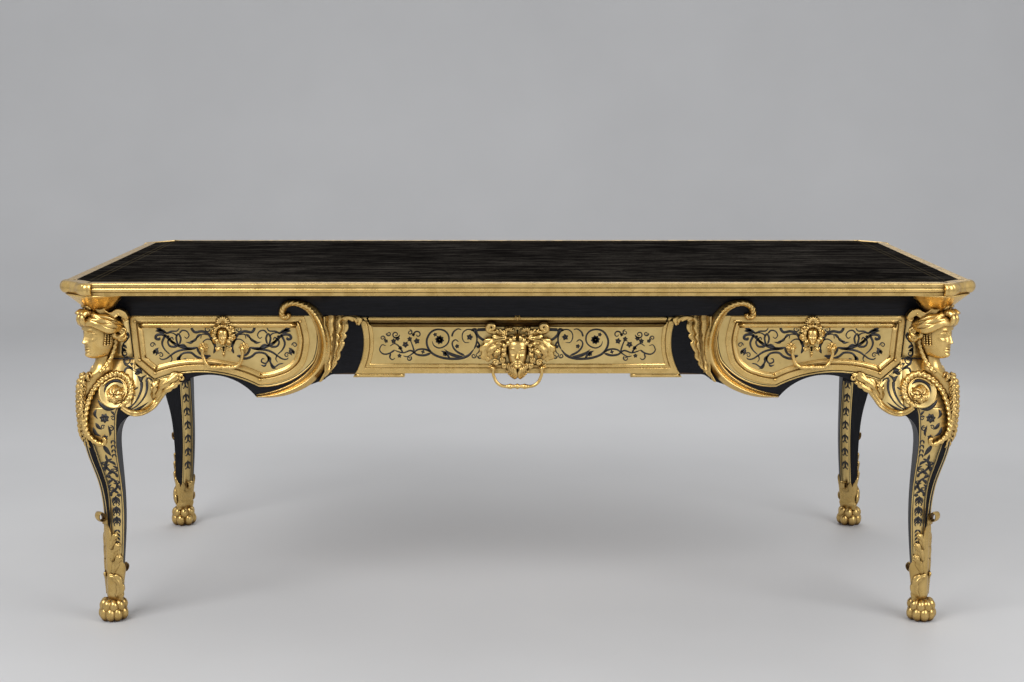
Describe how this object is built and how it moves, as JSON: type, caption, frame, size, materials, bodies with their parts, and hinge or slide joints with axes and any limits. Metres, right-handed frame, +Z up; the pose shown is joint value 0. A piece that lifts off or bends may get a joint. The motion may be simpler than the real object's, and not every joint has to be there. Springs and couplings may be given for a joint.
{
  "type": "bureau plat",
  "caption": "Long writing table with a leather top in a bronze edge, brass marquetry frieze with drawers, drop handles and locks, cabriole legs with corner busts and paw feet.",
  "frame": {"origin": "on the floor, under the middle of the top", "axes": "+X along the length to the sitter's right, +Y from the drawer front to the back, +Z up"},
  "size_m": [2.04, 1, 0.79],
  "materials": {
    "oak": "oiled oak",
    "leather": "worn black leather with tooled lines",
    "gilt_bronze": "chased and gilded bronze, burnished and matt",
    "ebony": "polished black veneer",
    "marquetry": "brass and black marquetry on a wooden ground, polished",
    "steel": "filed steel"
  },
  "bodies": {
    "carcass": {"top_board": "oak", "partition_left": "oak", "partition_right": "oak", "drawer_runners": "oak", "bottom_rail_centre": "oak", "leather_panel": "leather", "top_moulding_front": "gilt_bronze", "top_moulding_back": "gilt_bronze", "top_moulding_left": "gilt_bronze", "top_moulding_right": "gilt_bronze", "top_corner_clasps": "gilt_bronze", "paw_sabots": "gilt_bronze", "c_scroll_mounts": "gilt_bronze", "ear_mounts": "gilt_bronze", "fixed_frames": "gilt_bronze", "back_masks": "gilt_bronze", "bust_front_left": "gilt_bronze", "bust_front_right": "gilt_bronze", "bust_back_left": "gilt_bronze", "bust_back_right": "gilt_bronze", "cornice_front": "ebony", "cornice_back": "ebony", "cornice_left": "ebony", "cornice_right": "ebony", "divider_left": "ebony", "divider_right": "ebony", "bottom_rail_left": "ebony", "bottom_rail_right": "ebony", "centre_top_rail": "ebony", "leg_front_left": "marquetry", "leg_front_right": "marquetry", "leg_back_left": "marquetry", "leg_back_right": "marquetry", "end_apron_left": "marquetry", "end_apron_right": "marquetry", "back_apron": "marquetry"},
    "left_drawer": {"drawer_left_front": "marquetry", "drawer_left_box": "oak", "drawer_left_frame": "gilt_bronze", "drawer_left_mask": "gilt_bronze", "drawer_left_lock": "steel"},
    "centre_drawer": {"drawer_centre_front": "marquetry", "drawer_centre_box": "oak", "drawer_centre_frame": "gilt_bronze", "drawer_centre_mask": "gilt_bronze", "drawer_centre_lock": "steel"},
    "right_drawer": {"drawer_right_front": "marquetry", "drawer_right_box": "oak", "drawer_right_frame": "gilt_bronze", "drawer_right_mask": "gilt_bronze", "drawer_right_lock": "steel"},
    "left_bail": {"drawer_left_bail": "gilt_bronze"},
    "left_bolt": {"drawer_left_bolt": "steel"},
    "back_left_bail": {"back_bail_left": "gilt_bronze"},
    "centre_bail": {"drawer_centre_bail": "gilt_bronze"},
    "centre_bolt": {"drawer_centre_bolt": "steel"},
    "back_centre_bail": {"back_bail_centre": "gilt_bronze"},
    "right_bail": {"drawer_right_bail": "gilt_bronze"},
    "right_bolt": {"drawer_right_bolt": "steel"},
    "back_right_bail": {"back_bail_right": "gilt_bronze"}
  },
  "joints": [
    {"name": "left_drawer_slide", "type": "slide", "parent": "carcass", "child": "left_drawer", "axis": [0, -1, 0], "range_m": [0, 0.4]},
    {"name": "left_bail_hinge", "type": "hinge", "parent": "left_drawer", "child": "left_bail", "pos_m": [-0.662, -0.422, 0.634], "axis": [-1, 0, 0], "range_deg": [0, 90]},
    {"name": "left_bolt_slide", "type": "slide", "parent": "left_drawer", "child": "left_bolt", "axis": [0, 0, 1], "range_m": [0, 0.009]},
    {"name": "back_left_bail_hinge", "type": "hinge", "parent": "carcass", "child": "back_left_bail", "pos_m": [-0.662, 0.422, 0.634], "axis": [1, 0, 0], "range_deg": [0, 90]},
    {"name": "centre_drawer_slide", "type": "slide", "parent": "carcass", "child": "centre_drawer", "axis": [0, -1, 0], "range_m": [0, 0.4]},
    {"name": "centre_bail_hinge", "type": "hinge", "parent": "centre_drawer", "child": "centre_bail", "pos_m": [0, -0.367, 0.58], "axis": [-1, 0, 0], "range_deg": [0, 90]},
    {"name": "centre_bolt_slide", "type": "slide", "parent": "centre_drawer", "child": "centre_bolt", "axis": [0, 0, 1], "range_m": [0, 0.009]},
    {"name": "back_centre_bail_hinge", "type": "hinge", "parent": "carcass", "child": "back_centre_bail", "pos_m": [0, 0.367, 0.58], "axis": [1, 0, 0], "range_deg": [0, 90]},
    {"name": "right_drawer_slide", "type": "slide", "parent": "carcass", "child": "right_drawer", "axis": [0, -1, 0], "range_m": [0, 0.4]},
    {"name": "right_bail_hinge", "type": "hinge", "parent": "right_drawer", "child": "right_bail", "pos_m": [0.662, -0.422, 0.634], "axis": [-1, 0, 0], "range_deg": [0, 90]},
    {"name": "right_bolt_slide", "type": "slide", "parent": "right_drawer", "child": "right_bolt", "axis": [0, 0, 1], "range_m": [0, 0.009]},
    {"name": "back_right_bail_hinge", "type": "hinge", "parent": "carcass", "child": "back_right_bail", "pos_m": [0.662, 0.422, 0.634], "axis": [1, 0, 0], "range_deg": [0, 90]}
  ]
}
